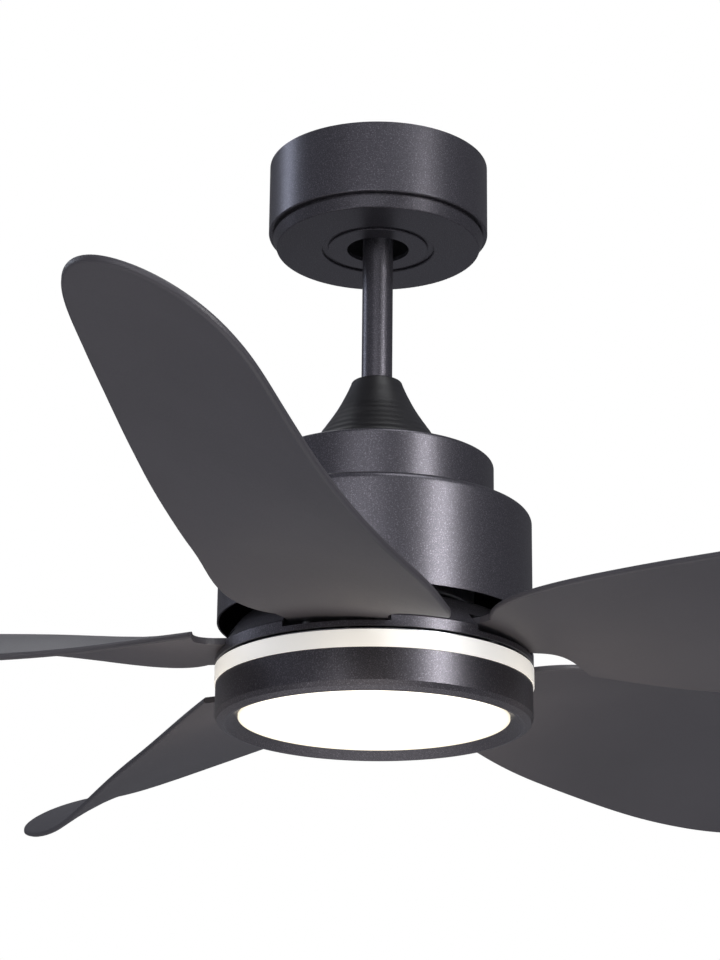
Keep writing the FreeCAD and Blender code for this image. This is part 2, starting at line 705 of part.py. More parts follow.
def motor_shaft():
    """Fixed hollow shaft from the yoke down to the light kit's nut."""
    profile = drops(
        ("shaft_bore", "shaft_top"),
        ("shaft_radius", "shaft_top"),
        ("shaft_radius", "shaft_foot"),
        ("shaft_bore", "shaft_foot"),
    )
    finish(turned("shaft_body", profile), "motor_shaft")


def stator_core():
    """Slotted core on the shaft: a ring with twelve teeth and narrow slot mouths."""
    profile = drops(
        ("shaft_radius", "stator_top"),
        ("stator_radius", "stator_top"),
        ("stator_radius", "stator_foot"),
        ("shaft_radius", "stator_foot"),
    )
    body = turned("core_body", profile)
    height = "stator_foot - stator_top + 2"
    low = -size("stator_foot + 1")
    floor = Vector(0, 0, low)
    channel = cut("coil_channel",
                  cylinder("channel_out", "stator_radius - tooth_crown", height, floor),
                  cylinder("channel_in", "tooth_root", height, floor))
    reach = (size("tooth_root - tooth_lap") + size("stator_radius")) / 2
    teeth = []
    mouths = []
    for number, angle in enumerate(around(TOOTH_COUNT)):
        teeth.append(block("tooth%d" % number, "stator_radius - tooth_root + tooth_lap",
                           "tooth_width", height, polar(reach, angle, low), about_z(angle)))
        between = angle + 180.0 / TOOTH_COUNT
        mouths.append(block("slot_mouth%d" % number, "mouth_depth", "slot_mouth", height,
                            polar(size("stator_radius"), between, low), about_z(between)))
    spaces = cut("coil_spaces", channel, fused("tooth_set", *teeth))
    finish(cut("core_slotted", body, fused("core_tools", spaces, *mouths)), "stator_core")


def stator_windings():
    """One coil round each tooth, as a block with rounded long edges."""
    overhang = size("coil_overhang")
    reach = size("coil_reach")
    length = size("coil_length")
    width = size("coil_width")
    height = size("stator_foot - stator_top + coil_overhang + coil_overhang")
    gap_width = size("tooth_width + coil_gap + coil_gap")
    outer = Part.makeBox(length, width, height, Vector(reach, -width / 2, 0))
    outer = outer.makeFillet(size("coil_edge"),
                             [edge for edge in outer.Edges
                              if abs(edge.tangentAt(edge.FirstParameter).x) > 0.9])
    gap = Part.makeBox(length + 4, gap_width, height - 2 * overhang + 0.2,
                       Vector(reach - 2, -gap_width / 2, overhang - 0.1))
    wound = outer.cut(gap)
    coils = []
    for number, angle in enumerate(around(TOOTH_COUNT)):
        coil = document.addObject("Part::Feature", "coil%d" % number)
        coil.Shape = wound
        coil.Placement = Placement(Vector(0, 0, -size("stator_foot + coil_overhang")),
                                   about_z(angle))
        coils.append(coil)
    finish(grouped("coil_set", coils), "stator_windings")


def bearing_race(label, inner, outer, top):
    """One race of a ball bearing, with its half of the ball track."""
    foot = top + " + bearing_height"
    race = turned(label + "_body", drops((inner, top), (outer, top), (outer, foot),
                                         (inner, foot)))
    track = document.addObject("Part::Torus", label + "_track")
    track.Radius1 = (size("race_inner") + size("race_outer")) / 2
    track.Radius2 = size("bearing_ball") + 0.3
    track.Placement = Placement(Vector(0, 0, -size(top) - size("bearing_height") / 2),
                                Rotation())
    finish(cut(label + "_cut", race, track), label)


def ball_cage(label, top):
    """Ring of balls with the cage that spaces them."""
    middle = -size(top) - size("bearing_height") / 2
    pitch = (size("race_inner") + size("race_outer")) / 2
    half_height = size("bearing_ball + cage_rim")
    half_wall = size("cage_wall") / 2
    rings = []
    for tag, radius in (("out", pitch + half_wall), ("in", pitch - half_wall)):
        ring = document.addObject("Part::Cylinder", label + "_" + tag)
        ring.Radius = radius
        ring.Height = 2 * half_height
        ring.Placement = Placement(Vector(0, 0, middle - half_height), Rotation())
        rings.append(ring)
    balls = []
    pockets = []
    for number, angle in enumerate(around(BALL_COUNT)):
        balls.append(ball("%s_ball%d" % (label, number), "bearing_ball",
                          polar(pitch, angle, middle)))
        pockets.append(cylinder("%s_pocket%d" % (label, number), "bearing_ball + 0.1",
                                "bearing_ball + 2", polar(pitch - 2, angle, middle),
                                about_z(angle) * ALONG_X))
    cage = cut(label + "_ring", cut(label + "_blank", *rings),
               fused(label + "_pockets", *pockets))
    finish(grouped(label + "_set", [cage] + balls), label)


def bearing(label, top):
    """Deep-groove ball bearing: two races and the balls between them."""
    bearing_race(label + "_inner_race", "shaft_radius", "race_inner", top)
    bearing_race(label + "_outer_race", "race_outer", "bearing_radius", top)
    ball_cage(label + "_ball_cage", top)


def rotor_upper_cover():
    wall = "rotor_wall"
    profile = drops(
        ("bearing_radius - bearing_lip", "rotor_top"),
        ("rotor_radius", "rotor_top"),
        ("rotor_radius", "rotor_split"),
        ("magnet_outer", "rotor_split"),
        ("magnet_outer", "rotor_top + " + wall),
        ("bearing_radius + bearing_lip", "rotor_top + " + wall),
        ("bearing_radius + bearing_lip", "upper_bearing_top + bearing_height"),
        ("bearing_radius", "upper_bearing_top + bearing_height"),
        ("bearing_radius", "upper_bearing_top"),
        ("bearing_radius - bearing_lip", "upper_bearing_top"),
    )
    body = turned("upper_can_body", profile)
    rounded(body, "upper_can_edge", "rotor_wall", ("rotor_radius", "- rotor_top"))
    finish(body, "rotor_upper_cover")


def boss_screw_angles():
    return around(int(size("blade_count")), size("boss_screw_angle"))


def rotor_lower_cover():
    """Lower cover with the bearing seat and the ring-shaped boss for the hub ring."""
    wall = "rotor_wall"
    profile = drops(
        ("magnet_outer", "rotor_split"),
        ("rotor_radius", "rotor_split"),
        ("rotor_radius", "rotor_foot"),
        ("hub_boss", "rotor_foot"),
        ("hub_boss", "hub_top"),
        ("hub_boss - boss_wall", "hub_top"),
        ("hub_boss - boss_wall", "rotor_foot"),
        ("bearing_radius - bearing_lip", "rotor_foot"),
        ("bearing_radius - bearing_lip", "lower_bearing_top + bearing_height"),
        ("bearing_radius", "lower_bearing_top + bearing_height"),
        ("bearing_radius", "lower_bearing_top"),
        ("bearing_radius + bearing_lip", "lower_bearing_top"),
        ("bearing_radius + bearing_lip", "rotor_foot - " + wall),
        ("magnet_outer", "rotor_foot - " + wall),
    )
    body = turned("lower_can_body", profile)
    rounded(body, "lower_can_edge", "rotor_wall", ("rotor_radius", "- rotor_foot"))
    holes = []
    for number, angle in enumerate(boss_screw_angles()):
        at = polar(size("hub_boss - boss_screw_in"), angle, -size("hub_top + 1"))
        holes.append(cylinder("boss_hole%d" % number, "large_shank", "boss_wall", at))
    finish(cut("lower_can_drilled", body, fused("boss_holes", *holes)), "rotor_lower_cover")


def rotor_magnets():
    height = size("stator_foot - stator_top")
    sweep = 360.0 / MAGNET_COUNT - math.degrees(size("magnet_gap") / size("magnet_outer"))
    outer = Part.makeCylinder(size("magnet_outer"), height, Vector(0, 0, 0),
                              Vector(0, 0, 1), sweep)
    inner = Part.makeCylinder(size("magnet_inner"), height)
    arc_piece = outer.cut(inner)
    magnets = []
    for number, angle in enumerate(around(MAGNET_COUNT)):
        magnet = document.addObject("Part::Feature", "magnet%d" % number)
        magnet.Shape = arc_piece
        magnet.Placement = Placement(Vector(0, 0, -size("stator_foot")), about_z(angle))
        magnets.append(magnet)
    finish(grouped("magnet_set", magnets), "rotor_magnets")


def blade_angles():
    return around(int(size("blade_count")), size("first_blade_angle"))


def blade_screw_offsets():
    """Distances across the blade of its three root screws."""
    pitch = size("blade_screw_pitch")
    middle = size("blade_screw_middle")
    return [middle - pitch, middle, middle + pitch]


def hub_ring():
    """Rotating ring under the housing: a cone and lip with one slot per blade tab."""
    wall = "hub_wall"
    profile = drops(
        ("hub_bore", "hub_top"),
        ("hub_inner", "hub_top"),
        ("hub_inner", "ledge_drop - ledge_plate"),
        ("hub_crown - ledge_plate", "ledge_drop - ledge_plate"),
        ("hub_crown - ledge_plate", "hub_top"),
        ("hub_crown", "hub_top"),
        ("hub_shoulder", "hub_shoulder_drop"),
        ("hub_radius", "hub_shoulder_drop + 1.4"),
        ("hub_radius", "hub_foot"),
        ("hub_radius - " + wall, "hub_foot"),
        ("hub_radius - " + wall, "hub_shoulder_drop + 1.8"),
        ("hub_shoulder - " + wall, "hub_shoulder_drop"),
        ("hub_crown + 6", "ledge_drop"),
        ("hub_inner - ledge_plate", "ledge_drop"),
        ("hub_inner - ledge_plate", "hub_top + hub_plate"),
        ("hub_bore", "hub_top + hub_plate"),
    )
    body = turned("hub_body", profile)
    tools = []
    gap = size("tab_gap")
    slot_low = size("ledge_drop + tab_slot_depth")
    for number, angle in enumerate(blade_angles()):
        turn = about_z(angle)
        slot = document.addObject("Part::Box", "tab_slot%d" % number)
        slot.setExpression("Length", "dims.tab_slot_length")
        slot.setExpression("Width", "2 * dims.tab_half + 2 * dims.tab_gap")
        slot.setExpression("Height", "dims.tab_slot_depth")
        corner = Vector(size("hub_crown - 8"), -size("tab_half") - gap, -slot_low)
        slot.Placement = Placement(turn.multVec(corner), turn)
        tools.append(slot)
        for step, across in enumerate(blade_screw_offsets()):
            at = Vector(size("blade_screw_circle"), across, -size("ledge_drop + 1"))
            tools.append(cylinder("tab_hole%d_%d" % (number, step), "small_hole",
                                  "ledge_plate + 2", turn.multVec(at)))
    for number, angle in enumerate(boss_screw_angles()):
        at = polar(size("hub_boss - boss_screw_in"), angle, -size("hub_top + hub_plate + 1"))
        tools.append(cylinder("hub_hole%d" % number, "large_shank", "hub_plate + 2", at))
    finish(cut("hub_slotted", body, fused("hub_tools", *tools)), "hub_ring")


def hub_screws():
    screws = []
    drop = size("hub_top + hub_plate + large_head_height")
    for number, angle in enumerate(boss_screw_angles()):
        at = polar(size("hub_boss - boss_screw_in"), angle, -drop)
        screws.append(screw("hub_screw%d" % number, at, "large", 11.0))
    finish(grouped("hub_screw_set", screws), "hub_screws")


def station_sketch(number):
    """Cross-section of the slab at one station: a band bent round a centre below it."""
    sketch = document.addObject("Sketcher::SketchObject", "station%d" % number)
    half = size("slab_width") / 2
    bend = size("station_bend_%d" % number)
    skin = size("blade_thickness") / 2
    centre = Vector(0, -bend, 0)
    for radius in (bend - skin, bend + skin):
        lean = math.asin(half / radius)
        circle = Part.Circle(centre, Vector(0, 0, 1), radius)
        arc = Part.ArcOfCircle(circle, math.pi / 2 - lean, math.pi / 2 + lean)
        sketch.addGeometry(arc, False)
    under, top = sketch.Geometry
    sketch.addGeometry(Part.LineSegment(under.StartPoint, top.StartPoint), False)
    sketch.addGeometry(Part.LineSegment(under.EndPoint, top.EndPoint), False)
    for side, end in ((2, 1), (3, 2)):
        sketch.addConstraint(Sketcher.Constraint("Coincident", side, 1, 0, end))
        sketch.addConstraint(Sketcher.Constraint("Coincident", side, 2, 1, end))
        sketch.addConstraint(Sketcher.Constraint("Vertical", side))
    sketch.addConstraint(Sketcher.Constraint("Coincident", 0, 3, 1, 3))
    sketch.addConstraint(Sketcher.Constraint("PointOnObject", 0, 3, -2))
    held = sketch.addConstraint(Sketcher.Constraint("DistanceY", 0, 3, -1, 1, bend))
    sketch.setExpression("Constraints[%d]" % held, "dims.station_bend_%d" % number)
    for arc, sign in ((0, "-"), (1, "+")):
        radius = sketch.Geometry[arc].Radius
        held = sketch.addConstraint(Sketcher.Constraint("Radius", arc, radius))
        sketch.setExpression("Constraints[%d]" % held,
                             "dims.station_bend_%d %s dims.blade_thickness / 2" % (number, sign))
    for end, sign in ((1, 1), (2, -1)):
        held = sketch.addConstraint(Sketcher.Constraint("DistanceX", -1, 1, 1, end, sign * half))
        sketch.setExpression("Constraints[%d]" % held, "%d * dims.slab_width / 2" % sign)
    upright = Rotation(Vector(0, 1, 0), Vector(0, 0, 1), Vector(1, 0, 0), "XYZ")
    pitched = Rotation(Vector(1, 0, 0), size("station_angle_%d" % number))
    sketch.Placement = Placement(Vector(0, 0, 0), pitched * upright)
    sketch.setExpression("Placement.Base.x", "dims.station_reach_%d" % number)
    sketch.setExpression("Placement.Base.z", "-dims.station_drop_%d" % number)
    return sketch


def blade_slab():
    """Twisted slab that follows the blade's stations, wider than the blade."""
    loft = document.addObject("Part::Loft", "blade_slab")
    loft.Sections = [station_sketch(number) for number in range(1, len(STATIONS) + 1)]
    loft.Solid = True
    loft.Ruled = False
    return loft


# Blade outline in plan, (distance out, distance across): the leading edge is on the
# low side of across, the trailing edge on the high side.
LEADING_EDGE = (
    (117.0, -39.0), (140.0, -60.0), (200.0, -65.0), (330.0, -54.0), (574.0, -17.0),
    (625.0, -7.0), (668.0, 18.0),
)
TRAILING_EDGE = ((664.0, 67.0), (567.0, 99.0), (400.0, 108.0), (248.0, 104.0), (132.0, 85.0))
ROOT_EDGE = ((132.0, 85.0), (131.0, 64.0), (127.0, 47.0), (115.0, 38.0))


def blade_plan():
    """Upright prism of the blade's plan outline, with the square tab at its root."""
    low = -size("ledge_drop") - 80.0
    edge = [Vector(out, across, low) for out, across in LEADING_EDGE + TRAILING_EDGE]
    drawn = Part.BSplineCurve()
    drawn.interpolate(edge)
    faired = Part.BSplineCurve()
    faired.approximate(Points=drawn.discretize(60), DegMin=3, DegMax=5, Tolerance=0.3)
    root = Part.BSplineCurve()
    root.interpolate([Vector(out, across, low) for out, across in ROOT_EDGE])
    start = size("tab_start")
    end = size("tab_end")
    half = size("tab_half")
    corners = (
        Vector(ROOT_EDGE[-1][0], ROOT_EDGE[-1][1], low),
        Vector(end, half, low),
        Vector(start, half, low),
        Vector(start, -half, low),
        Vector(end, -half, low),
        Vector(LEADING_EDGE[0][0], LEADING_EDGE[0][1], low),
    )
    rim = [faired.toShape(), root.toShape()]
    for first, second in zip(corners, corners[1:]):
        rim.append(Part.makeLine(first, second))
    face = Part.Face(Part.Wire(Part.__sortEdges__(rim)))
    return face.extrude(Vector(0, 0, 160))


def blade_shape():
    """One blade along +X: the slab cut to the plan outline, rounded and drilled."""
    plan = document.addObject("Part::Feature", "blade_plan")
    plan.Shape = blade_plan()
    whole = common("blade_blank", blade_slab(), plan)
    document.recompute()
    shape = whole.Shape.Solids[0]
    clear_of_tab = size("tab_start + 5")
    long_edges = [edge for edge in shape.Edges
                  if edge.Length > 60.0 and edge.BoundBox.XMin > clear_of_tab]
    softened = shape.makeFillet(size("blade_edge"), long_edges)
    holes = []
    for across in blade_screw_offsets():
        at = Vector(size("blade_screw_circle"), across, -size("ledge_drop + 20"))
        holes.append(Part.makeCylinder(size("blade_hole"), 30, at))
    return softened.cut(holes)


def blades():
    """Five equal blades, each held to the hub ring by three screws."""
    drilled = blade_shape()
    screws = []
    for number, angle in enumerate(blade_angles(), start=1):
        blade = document.addObject("Part::Feature", "blade%d" % number)
        blade.Shape = drilled
        turn = about_z(angle)
        blade.Placement = Placement(Vector(0, 0, 0), turn)
        finish(blade, "blade_%d" % number)
        for step, across in enumerate(blade_screw_offsets()):
            drop = size("ledge_drop + screw_seat") + size("screw_step") * step
            at = turn.multVec(Vector(size("blade_screw_circle"), across, -drop))
            screws.append(screw("blade_screw%d_%d" % (number, step), at, "small", 9.0))
    finish(grouped("blade_screw_set", screws), "blade_screws")


def flat_ring(name, inner, outer, top, foot):
    """A plain ring between two radii and two drops."""
    return turned(name, drops((inner, top), (outer, top), (outer, foot), (inner, foot)))


def light_base():
    """Base pan on the shaft, its nut and the posts down to the light ring."""
    finish(flat_ring("base_body", "shaft_radius", "band_radius - band_wall", "kit_top",
                     "band_top"), "light_base_pan")
    low = -size("band_top + nut_height")
    nut = document.addObject("Part::Prism", "nut_blank")
    nut.Polygon = 6
    nut.setExpression("Circumradius", "dims.nut_radius")
    nut.setExpression("Height", "dims.nut_height")
    nut.Placement = Placement(Vector(0, 0, low), Rotation())
    bore = cylinder("nut_bore", "shaft_radius", "nut_height + 2", Vector(0, 0, low - 1))
    finish(cut("nut_solid", nut, bore), "shaft_nut")
    posts = []
    for number, angle in enumerate(around(POST_COUNT, 20.0)):
        at = polar(size("board_radius + post_out"), angle, -size("band_foot"))
        posts.append(cylinder("post%d" % number, "post_radius", "band_foot - band_top", at))
    finish(grouped("post_set", posts), "kit_standoffs")


def glow_band():
    """Opal band round the kit, with the strip of lamps that lights it."""
    finish(flat_ring("band_body", "band_radius - band_wall", "band_radius", "band_top",
                     "band_foot"), "glow_band")
    strip_out = "band_radius - band_wall - strip_gap"
    strip = flat_ring("strip_body", strip_out + " - strip_wall", strip_out, "band_top",
                      "band_foot")
    chips = [strip]
    low = -(size("band_top") + size("band_foot") + size("strip_chip")) / 2
    for number, angle in enumerate(around(STRIP_CHIP_COUNT)):
        chips.append(block("strip_chip%d" % number, "strip_chip_depth", "strip_chip",
                           "strip_chip", polar(size(strip_out) + 0.3, angle, low),
                           about_z(angle)))
    finish(fused("strip_set", *chips), "band_light_strip")


def light_ring():
    wall = "ring_wall"
    profile = drops(
        ("board_radius", "band_foot"),
        ("ring_radius", "band_foot"),
        ("ring_radius", "ring_foot"),
        ("ring_radius - " + wall, "ring_foot"),
        ("ring_radius - " + wall, "band_foot + " + wall),
        ("board_radius", "band_foot + " + wall),
    )
    finish(turned("ring_body", profile), "light_ring")


def lamp_tray():
    """Pressed tray under the light ring's flange, with the lamp board and its lamps."""
    board_top = "board_drop - board_wall"
    profile = drops(
        ("tray_bore", board_top),
        ("board_radius", board_top),
        ("board_radius", "band_foot"),
        ("board_radius + tray_lip", "band_foot"),
        ("board_radius + tray_lip", "band_foot - tray_sheet"),
        ("board_radius - tray_sheet", "band_foot - tray_sheet"),
        ("board_radius - tray_sheet", board_top + " - tray_sheet"),
        ("tray_bore", board_top + " - tray_sheet"),
    )
    finish(turned("tray_body", profile), "heat_spreader")
    finish(flat_ring("board_body", "tray_bore - tray_lip", "board_radius - 2", board_top,
                     "board_drop"), "lamp_board")
    lamps = []
    low = -size("board_drop + chip_height")
    for row, (count, reach) in enumerate(LAMP_ROWS):
        for number, angle in enumerate(around(count, 7.0 * row)):
            lamps.append(block("lamp%d_%d" % (row, number), "chip_side", "chip_side",
                               "chip_height", polar(reach, angle, low), about_z(angle)))
    finish(grouped("lamp_set", lamps), "lamp_chips")


def lamp_driver():
    at = Vector(size("driver_reach") + size("driver_length") / 2, 0,
                -size("band_top + driver_height"))
    finish(block("driver_case", "driver_length", "driver_width", "driver_height", at),
           "lamp_driver")


def trim_ring():
    """Bezel under the light ring: a rounded lip and a bevel down to the diffuser."""
    profile = drops(
        ("ring_radius", "ring_foot"),
        ("ring_radius", "ring_foot + 3.5"),
        ("ring_radius - 1.6", "trim_foot - 2.4"),
        ("trim_flat + 2", "trim_foot"),
        ("trim_flat", "trim_foot"),
        ("trim_inner", "trim_lip"),
        ("trim_inner - 2.2", "trim_lip - 1.6"),
        ("trim_inner - 2.2", "trim_lip - 2.6"),
        ("trim_inner + 2", "trim_lip - 2.6"),
        ("ring_radius - ring_wall - 2.2", "ring_foot"),
    )
    finish(turned("trim_body", profile), "trim_ring")


def diffuser():
    """Shallow opal dome that rests on the trim ring's inner ledge."""
    radius = size("trim_inner - 2.6")
    sag = size("diffuser_sag")
    wall = Vector(0, 0, size("diffuser_wall"))
    sphere = (radius ** 2 + sag ** 2) / (2 * sag)
    half_rise = sphere - math.sqrt(sphere ** 2 - (radius / 2) ** 2)
    rim = Vector(radius, 0, -size("trim_lip - 1.2"))
    low = Vector(0, 0, rim.z - sag)
    between = Vector(radius / 2, 0, low.z + half_rise)
    edges = [
        Part.makeLine(low + wall, low),
        Part.Arc(low, between, rim).toShape(),
        Part.makeLine(rim, rim + wall),
        Part.Arc(rim + wall, between + wall, low + wall).toShape(),
    ]
    shade = document.addObject("Part::Feature", "diffuser_shape")
    shade.Shape = Part.Face(Part.Wire(edges)).revolve(Vector(0, 0, 0), Vector(0, 0, 1), 360)
    finish(shade, "diffuser")


def check_document():
    """Stop if any object failed, or any sub-part is empty or not valid."""
    document.recompute()
    for item in document.Objects:
        if "Invalid" in item.State or "Error" in item.State:
            raise RuntimeError("failed object " + item.Name + " " + str(item.State))
    for item in finished:
        if item.Shape.isNull() or not item.Shape.isValid() or not item.Shape.Solids:
            raise RuntimeError("bad shape " + item.Label)


hanger_bracket()
canopy()
canopy_cover()
canopy_screws()
radio_receiver()
terminal_block()
ball_seat()
hanger_ball()
down_rod()
motor_yoke()
yoke_pin()
coupling_cover()
upper_housing()
motor_housing()
housing_carrier()
motor_shaft()
stator_core()
stator_windings()
bearing("upper_bearing", "upper_bearing_top")
bearing("lower_bearing", "lower_bearing_top")
rotor_upper_cover()
rotor_lower_cover()
rotor_magnets()
hub_ring()
hub_screws()
blades()
light_base()
glow_band()
light_ring()
lamp_tray()
lamp_driver()
trim_ring()
diffuser()
check_document()

os.makedirs("parts", exist_ok=True)
for item in finished:
    item.Shape.exportStep("parts/" + item.Label + ".step")
    print(item.Label, len(item.Shape.Solids), round(item.Shape.Volume / 1000.0, 2))
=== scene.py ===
import json
import math

import bmesh
import bpy
from mathutils import Euler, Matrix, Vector


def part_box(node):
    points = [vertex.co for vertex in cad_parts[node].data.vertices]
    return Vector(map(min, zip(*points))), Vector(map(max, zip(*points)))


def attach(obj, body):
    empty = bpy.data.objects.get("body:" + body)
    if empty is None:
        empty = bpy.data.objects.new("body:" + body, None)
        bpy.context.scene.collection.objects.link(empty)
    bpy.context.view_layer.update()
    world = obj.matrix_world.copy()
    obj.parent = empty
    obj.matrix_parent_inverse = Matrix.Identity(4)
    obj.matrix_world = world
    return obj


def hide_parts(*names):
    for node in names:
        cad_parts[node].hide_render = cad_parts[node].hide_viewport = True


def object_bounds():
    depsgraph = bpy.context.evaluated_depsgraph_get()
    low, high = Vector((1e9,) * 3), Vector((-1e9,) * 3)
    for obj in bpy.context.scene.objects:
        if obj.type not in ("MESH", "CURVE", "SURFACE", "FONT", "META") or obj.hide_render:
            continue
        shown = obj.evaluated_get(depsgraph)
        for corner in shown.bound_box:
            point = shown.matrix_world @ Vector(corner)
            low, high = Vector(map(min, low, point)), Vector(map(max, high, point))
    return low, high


# A ceiling fan with light: materials, one moulded cover, stage, lights and camera around the
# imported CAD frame. Lengths are in metres. The fan hangs along Z and the camera is on its -Y side.
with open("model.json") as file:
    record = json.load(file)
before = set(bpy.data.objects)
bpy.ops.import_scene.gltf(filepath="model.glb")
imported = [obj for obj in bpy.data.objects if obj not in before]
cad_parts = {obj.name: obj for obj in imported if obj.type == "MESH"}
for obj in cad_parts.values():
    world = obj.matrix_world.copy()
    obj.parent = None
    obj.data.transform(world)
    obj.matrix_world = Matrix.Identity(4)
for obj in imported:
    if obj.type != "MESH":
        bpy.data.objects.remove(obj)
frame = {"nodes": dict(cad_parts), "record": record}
cad_low, cad_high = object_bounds()

SLOT_OF = {row["node"]: row["material_slot"] for row in frame["record"]["subparts"]}
CENTRE = (cad_low + cad_high) / 2


# ---------------------------------------------------------------- camera
# Fitted to the reference view: from below, and a little to the right of the fan's middle.
CAMERA_AT = Vector((0.0577, -1.8131, -0.8753))
CAMERA_YAW = math.radians(2.18)
CAMERA_PITCH = math.radians(17.74)
CAMERA_ROLL = math.radians(0.60)
CAMERA_LENS = 97.67
CAMERA_SENSOR = 36.0
CAMERA_SHIFT_UP = 0.06
CAMERA_FAR = 60.0
LEVEL = math.radians(90.0)


def add_camera():
    """The camera, with its roll taken about its own line of sight."""
    data = bpy.data.cameras.new("camera")
    data.sensor_fit = "AUTO"
    data.sensor_width = CAMERA_SENSOR
    data.lens = CAMERA_LENS
    data.shift_y = CAMERA_SHIFT_UP
    data.clip_end = CAMERA_FAR
    camera = bpy.data.objects.new("camera", data)
    camera.location = CAMERA_AT
    tilt = Euler((LEVEL + CAMERA_PITCH, 0.0, CAMERA_YAW), "XYZ")
    roll = Euler((0.0, 0.0, CAMERA_ROLL), "XYZ")
    camera.rotation_euler = (tilt.to_matrix() @ roll.to_matrix()).to_euler()
    bpy.context.scene.collection.objects.link(camera)
    bpy.context.scene.camera = camera


# ---------------------------------------------------------------- shader helpers
def new_material(name, colour, roughness, metallic=0.0, specular=0.5):
    """A node material with a Principled shader; returns it with its tree and shader."""
    material = bpy.data.materials.new(name)
    material.use_nodes = True
    tree = material.node_tree
    shader = tree.nodes["Principled BSDF"]
    shader.inputs["Base Color"].default_value = (*colour, 1.0)
    shader.inputs["Roughness"].default_value = roughness
    shader.inputs["Metallic"].default_value = metallic
    shader.inputs["Specular IOR Level"].default_value = specular
    return material, tree, shader


def noise(tree, scale, detail=2.0, stretch=(1.0, 1.0, 1.0)):
    """Noise in the object's own coordinates; scale is in cycles per metre."""
    place = tree.nodes.new("ShaderNodeTexCoord")
    mapping = tree.nodes.new("ShaderNodeMapping")
    mapping.inputs["Scale"].default_value = stretch
    texture = tree.nodes.new("ShaderNodeTexNoise")
    texture.inputs["Scale"].default_value = scale
    texture.inputs["Detail"].default_value = detail
    tree.links.new(place.outputs["Object"], mapping.inputs["Vector"])
    tree.links.new(mapping.outputs["Vector"], texture.inputs["Vector"])
    return texture.outputs["Fac"]


def ramp(tree, factor, stops):
    """Colour ramp with (position, colour) stops, in rising order of position."""
    node = tree.nodes.new("ShaderNodeValToRGB")
    elements = node.color_ramp.elements
    for element, (position, colour) in zip(elements, (stops[0], stops[-1])):
        element.position = position
        element.color = (*colour, 1.0)
    for position, colour in stops[1:-1]:
        middle = elements.new(position)
        middle.color = (*colour, 1.0)
    tree.links.new(factor, node.inputs["Fac"])
    return node.outputs["Color"]


def to_range(tree, factor, low, high):
    """A 0 to 1 factor spread over low to high."""
    node = tree.nodes.new("ShaderNodeMapRange")
    node.inputs["To Min"].default_value = low
    node.inputs["To Max"].default_value = high
    tree.links.new(factor, node.inputs["Value"])
    return node.outputs["Result"]


def from_range(tree, value, low, high):
    """A value's share of the way from low to high, kept within 0 to 1."""
    node = tree.nodes.new("ShaderNodeMapRange")
    node.inputs["From Min"].default_value = low
    node.inputs["From Max"].default_value = high
    tree.links.new(value, node.inputs["Value"])
    return node.outputs["Result"]


def bump(tree, shader, height, strength, distance):
    """A fine relief on the shader's normal."""
    node = tree.nodes.new("ShaderNodeBump")
    node.inputs["Strength"].default_value = strength
    node.inputs["Distance"].default_value = distance
    tree.links.new(height, node.inputs["Height"])
    tree.links.new(node.outputs["Normal"], shader.inputs["Normal"])


def scaled(colour, factor):
    return tuple(part * factor for part in colour)


def camera_only(tree, seen, unseen, output):
    """Show one shader to camera rays and the other to every other ray."""
    path = tree.nodes.new("ShaderNodeLightPath")
    mix = tree.nodes.new("ShaderNodeMixShader")
    tree.links.new(path.outputs["Is Camera Ray"], mix.inputs["Fac"])
    tree.links.new(unseen, mix.inputs[1])
    tree.links.new(seen, mix.inputs[2])
    tree.links.new(mix.outputs["Shader"], tree.nodes[output].inputs["Surface"])


# ---------------------------------------------------------------- materials
def graphite_paint():
    """Satin metallic paint: fine bright flakes over a dark violet-grey base."""
    base = (0.092, 0.088, 0.100)
    material, tree, shader = new_material("graphite_paint", base, roughness=0.34, metallic=0.85)
    flakes = noise(tree, scale=1300.0, detail=1.5)
    colour = ramp(tree, flakes, ((0.32, scaled(base, 0.78)), (0.56, base),
                                 (0.72, scaled(base, 1.9))))
    tree.links.new(colour, shader.inputs["Base Color"])
    satin = to_range(tree, noise(tree, scale=900.0), low=0.29, high=0.42)
    tree.links.new(satin, shader.inputs["Roughness"])
    bump(tree, shader, flakes, strength=0.16, distance=0.0002)
    return material


def blade_plastic():
    """Matte moulded blade: dark violet-grey with a faint orange peel."""
    base = (0.051, 0.048, 0.055)
    material, tree, shader = new_material("blade_plastic", base, roughness=0.46, specular=0.45)
    cloud = noise(tree, scale=9.0, detail=3.0)
    colour = ramp(tree, cloud, ((0.30, scaled(base, 0.92)), (0.70, scaled(base, 1.08))))
    tree.links.new(colour, shader.inputs["Base Color"])
    peel = noise(tree, scale=850.0, detail=1.0)
    tree.links.new(to_range(tree, peel, low=0.42, high=0.50), shader.inputs["Roughness"])
    bump(tree, shader, peel, strength=0.08, distance=0.00015)
    return material


def bell_plastic():
    """Dark moulded cover with faint turned lines."""
    base = (0.0060, 0.0057, 0.0062)
    material, tree, shader = new_material("bell_plastic", base, roughness=0.40)
    lines = noise(tree, scale=90.0, detail=3.0, stretch=(0.15, 0.15, 9.0))
    colour = ramp(tree, lines, ((0.35, scaled(base, 0.8)), (0.65, scaled(base, 1.35))))
    tree.links.new(colour, shader.inputs["Base Color"])
    tree.links.new(to_range(tree, lines, low=0.34, high=0.46), shader.inputs["Roughness"])
    bump(tree, shader, lines, strength=0.10, distance=0.0002)
    return material


